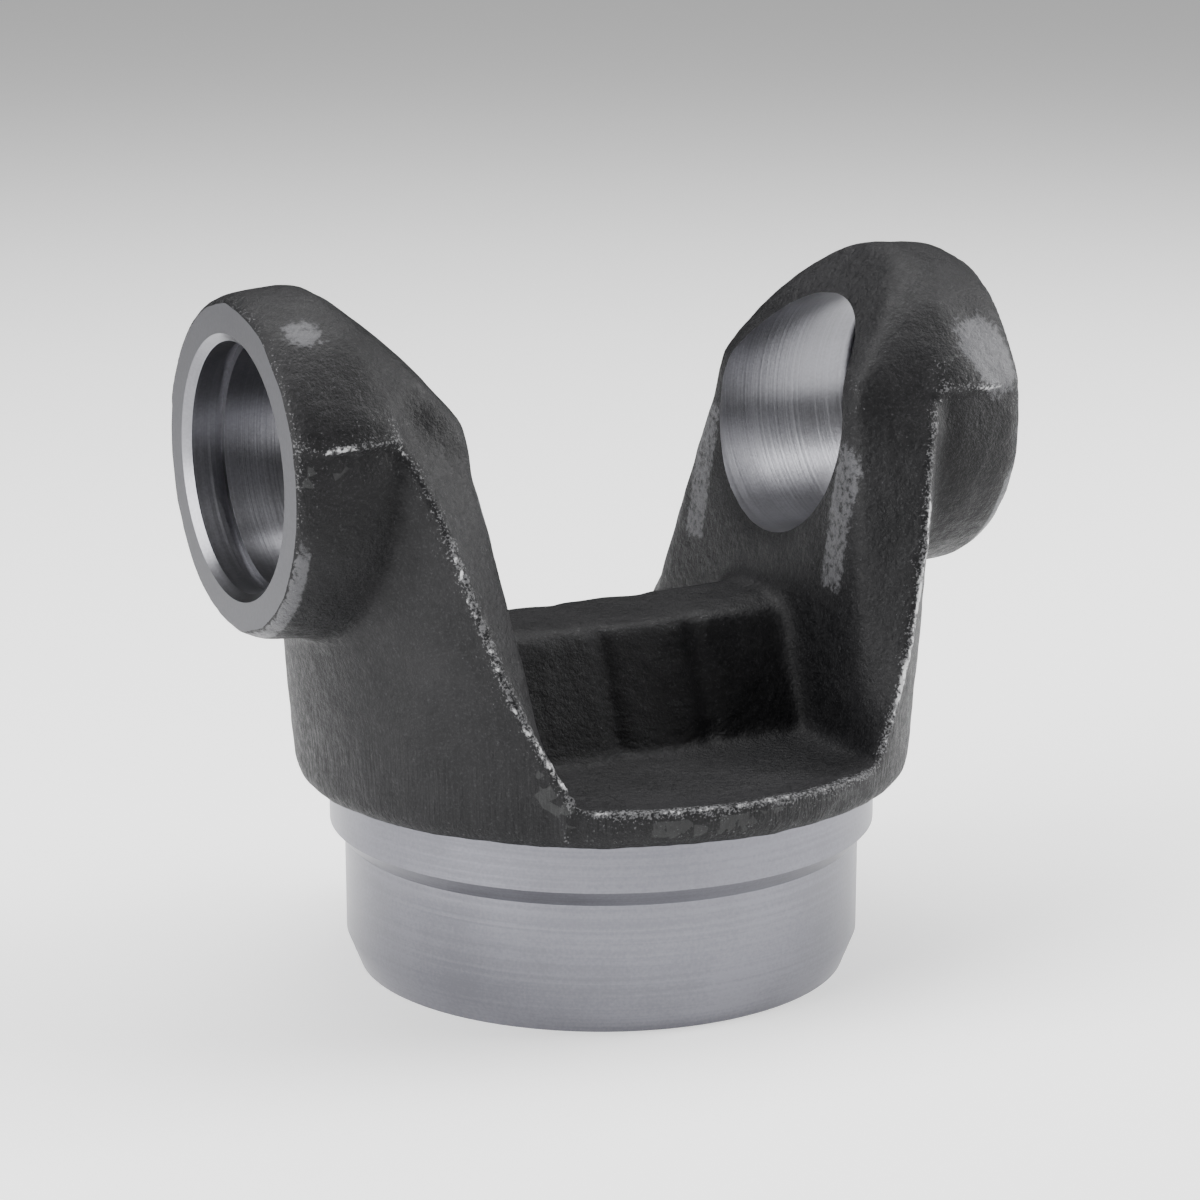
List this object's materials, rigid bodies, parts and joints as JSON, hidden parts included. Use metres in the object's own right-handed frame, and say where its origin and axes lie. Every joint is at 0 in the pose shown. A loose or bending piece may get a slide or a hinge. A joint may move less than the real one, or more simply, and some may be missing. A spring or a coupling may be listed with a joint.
{
  "type": "driveshaft weld yoke",
  "caption": "Forged steel shaft yoke: two splayed ears with aligned bearing bores above a round flange and a turned neck that is pressed into a tube and welded.",
  "frame": {"origin": "centre of the neck's end face, on the shaft axis", "axes": "+Z along the shaft axis from the neck towards the ears, +X along the axis of the cross bores"},
  "size_m": [0.0892, 0.0708, 0.0803],
  "materials": {
    "forged_steel": "black forging scale, with neck, shoulder, bores and ring faces turned bright"
  },
  "bodies": {
    "root": {"tube_yoke": "forged_steel"}
  },
  "joints": []
}
